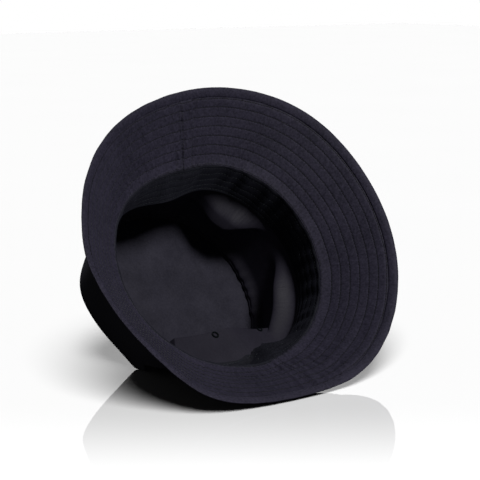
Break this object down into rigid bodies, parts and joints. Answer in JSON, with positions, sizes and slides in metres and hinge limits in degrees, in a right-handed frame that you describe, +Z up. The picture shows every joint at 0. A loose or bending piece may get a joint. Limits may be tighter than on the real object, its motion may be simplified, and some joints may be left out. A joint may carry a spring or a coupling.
{
  "type": "bucket hat",
  "caption": "Lined bucket hat with a wide quilted brim, a sweatband and embroidered eyelets, lying on its side with the opening facing forward and up.",
  "frame": {"origin": "on the floor, at the centre of the lying hat's footprint box", "axes": "+Z up from the floor; +X to one end of the hat's long, front-to-back direction, which lies nearly level; the head opening faces -Y and up, its axis (0, -0.832, 0.555), so the crown's top is towards +Y"},
  "size_m": [0.2828, 0.2162, 0.2153],
  "materials": {
    "shell_nylon": "fine matt woven nylon with a slight sheen",
    "lining_satin": "smooth lining cloth with a soft satin sheen",
    "seam_tape": "matt woven tape",
    "thread": "spun polyester sewing thread",
    "sweatband_cloth": "matt twill with rows of stitching",
    "padding": "needled polyester wadding"
  },
  "bodies": {
    "root": {"crown_tip": "shell_nylon", "crown_side_front": "shell_nylon", "crown_side_back": "shell_nylon", "brim_top_front": "shell_nylon", "brim_top_back": "shell_nylon", "brim_under_front": "shell_nylon", "brim_under_back": "shell_nylon", "brim_edge_roll": "shell_nylon", "tip_lining": "lining_satin", "side_lining_front": "lining_satin", "side_lining_back": "lining_satin", "tip_seam_allowance": "seam_tape", "head_seam_binding": "seam_tape", "side_seam_allowances": "seam_tape", "brim_quilting_under": "thread", "brim_quilting_top": "thread", "brim_seam_stitching": "thread", "tip_seam_stitching": "thread", "head_seam_stitching": "thread", "side_seam_stitching": "thread", "sweatband_stitching": "thread", "eyelets": "thread", "sweatband": "sweatband_cloth", "brim_padding": "padding"}
  },
  "joints": []
}
